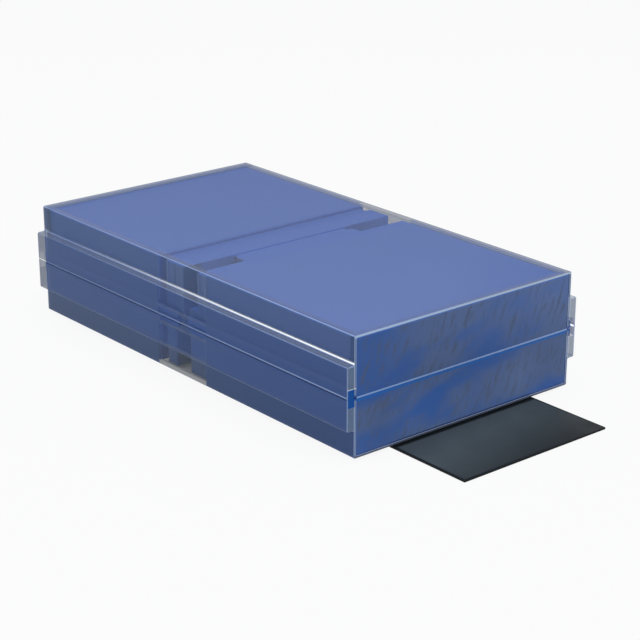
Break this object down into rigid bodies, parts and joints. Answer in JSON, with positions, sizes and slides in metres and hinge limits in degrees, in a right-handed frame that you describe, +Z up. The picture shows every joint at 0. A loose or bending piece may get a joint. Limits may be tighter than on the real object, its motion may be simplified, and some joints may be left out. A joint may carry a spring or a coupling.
{
  "type": "pouch battery cell pack",
  "caption": "Flat rectangular battery of blue pouch cells inside a clear split case with side rails; a wide flat black lead runs out under one end.",
  "frame": {"origin": "middle of the case's footprint, on the surface that the pack stands on", "axes": "+X along the case towards the lead's free end, +Y across the case, +Z up"},
  "size_m": [0.1183, 0.0572, 0.0236],
  "materials": {
    "clear_case": "clear moulded plastic with a faint grey tint",
    "pouch_film": "satin blue film over aluminium foil",
    "sealant": "melted sealant",
    "anode_coating": "graphite on copper foil",
    "cathode_coating": "oxide coating on aluminium foil",
    "separator_film": "white porous film",
    "aluminium_tab": "rolled foil",
    "nickel_tab": "nickel plate",
    "bond_film": "clear double-sided film",
    "cap_plastic": "moulded blue plastic",
    "black_film": "black insulating film, satin",
    "copper_foil": "rolled copper",
    "tape": "double-sided tape",
    "foam": "closed-cell foam"
  },
  "bodies": {
    "root": {"upper_case": "clear_case", "lower_case": "clear_case", "upper_left_pouch_cup": "pouch_film", "upper_left_pouch_back": "pouch_film", "upper_left_heat_seal": "sealant", "upper_left_anodes": "anode_coating", "upper_left_cathodes": "cathode_coating", "upper_left_separator": "separator_film", "upper_left_positive_tab": "aluminium_tab", "upper_left_negative_tab": "nickel_tab", "lower_left_pouch_cup": "pouch_film", "lower_left_pouch_back": "pouch_film", "lower_left_heat_seal": "sealant", "lower_left_anodes": "anode_coating", "lower_left_cathodes": "cathode_coating", "lower_left_separator": "separator_film", "lower_left_positive_tab": "aluminium_tab", "lower_left_negative_tab": "nickel_tab", "upper_right_pouch_cup": "pouch_film", "upper_right_pouch_back": "pouch_film", "upper_right_heat_seal": "sealant", "upper_right_anodes": "anode_coating", "upper_right_cathodes": "cathode_coating", "upper_right_separator": "separator_film", "upper_right_positive_tab": "aluminium_tab", "upper_right_negative_tab": "nickel_tab", "lower_right_pouch_cup": "pouch_film", "lower_right_pouch_back": "pouch_film", "lower_right_heat_seal": "sealant", "lower_right_anodes": "anode_coating", "lower_right_cathodes": "cathode_coating", "lower_right_separator": "separator_film", "lower_right_positive_tab": "aluminium_tab", "lower_right_negative_tab": "nickel_tab", "left_bond_sheet": "bond_film", "right_bond_sheet": "bond_film", "left_terrace_cap": "cap_plastic", "right_terrace_cap": "cap_plastic", "upper_spacer_bar": "cap_plastic", "lower_spacer_bar": "cap_plastic", "series_link": "nickel_tab", "lead_lower_film": "black_film", "lead_negative_foil": "copper_foil", "lead_middle_film": "black_film", "lead_positive_foil": "copper_foil", "lead_upper_film": "black_film", "riser_sleeve": "black_film", "lead_tape": "tape", "level_strip": "foam"}
  },
  "joints": []
}
